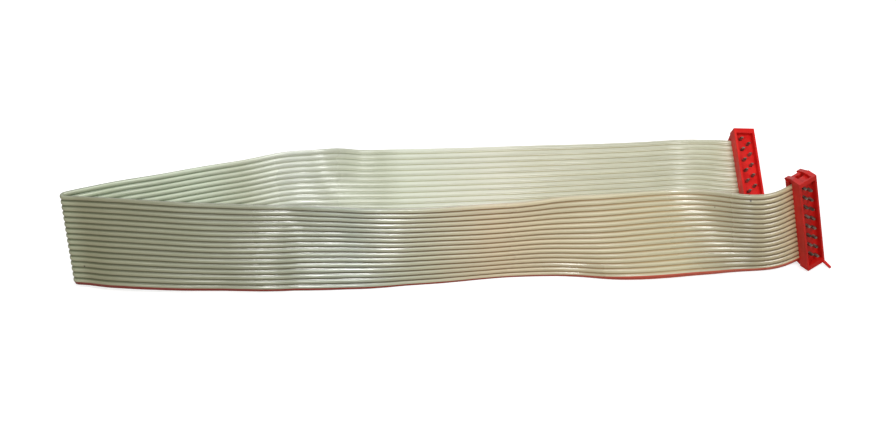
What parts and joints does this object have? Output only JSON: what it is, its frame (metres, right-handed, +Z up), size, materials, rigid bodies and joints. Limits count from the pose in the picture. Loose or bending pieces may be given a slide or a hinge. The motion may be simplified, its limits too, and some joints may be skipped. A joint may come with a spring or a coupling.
{
  "type": "ribbon cable",
  "caption": "Grey flat ribbon cable with one red edge, folded into a narrow V on its edge, with a red micro plug crimped on each end.",
  "frame": {"origin": "on the floor under the middle of the part's box", "axes": "+X from the fold towards the plugs, +Y from the near run to the far run, +Z up"},
  "size_m": [0.166, 0.0398, 0.0241],
  "materials": {
    "insulation": "soft satin grey vinyl with a red edge stripe",
    "copper": "bare copper strands",
    "red_plastic": "moulded red thermoplastic, slight gloss",
    "tinned_contact": "dull tin plating"
  },
  "bodies": {
    "root": {"ribbon_insulation": "insulation", "conductor_01": "copper", "conductor_02": "copper", "conductor_03": "copper", "conductor_04": "copper", "conductor_05": "copper", "conductor_06": "copper", "conductor_07": "copper", "conductor_08": "copper", "conductor_09": "copper", "conductor_10": "copper", "conductor_11": "copper", "conductor_12": "copper", "conductor_13": "copper", "conductor_14": "copper", "conductor_15": "copper", "conductor_16": "copper", "near_housing": "red_plastic", "near_cover": "red_plastic", "near_contact_01": "tinned_contact", "near_contact_02": "tinned_contact", "near_contact_03": "tinned_contact", "near_contact_04": "tinned_contact", "near_contact_05": "tinned_contact", "near_contact_06": "tinned_contact", "near_contact_07": "tinned_contact", "near_contact_08": "tinned_contact", "near_contact_09": "tinned_contact", "near_contact_10": "tinned_contact", "near_contact_11": "tinned_contact", "near_contact_12": "tinned_contact", "near_contact_13": "tinned_contact", "near_contact_14": "tinned_contact", "near_contact_15": "tinned_contact", "near_contact_16": "tinned_contact", "far_housing": "red_plastic", "far_cover": "red_plastic", "far_contact_01": "tinned_contact", "far_contact_02": "tinned_contact", "far_contact_03": "tinned_contact", "far_contact_04": "tinned_contact", "far_contact_05": "tinned_contact", "far_contact_06": "tinned_contact", "far_contact_07": "tinned_contact", "far_contact_08": "tinned_contact", "far_contact_09": "tinned_contact", "far_contact_10": "tinned_contact", "far_contact_11": "tinned_contact", "far_contact_12": "tinned_contact", "far_contact_13": "tinned_contact", "far_contact_14": "tinned_contact", "far_contact_15": "tinned_contact", "far_contact_16": "tinned_contact"}
  },
  "joints": []
}
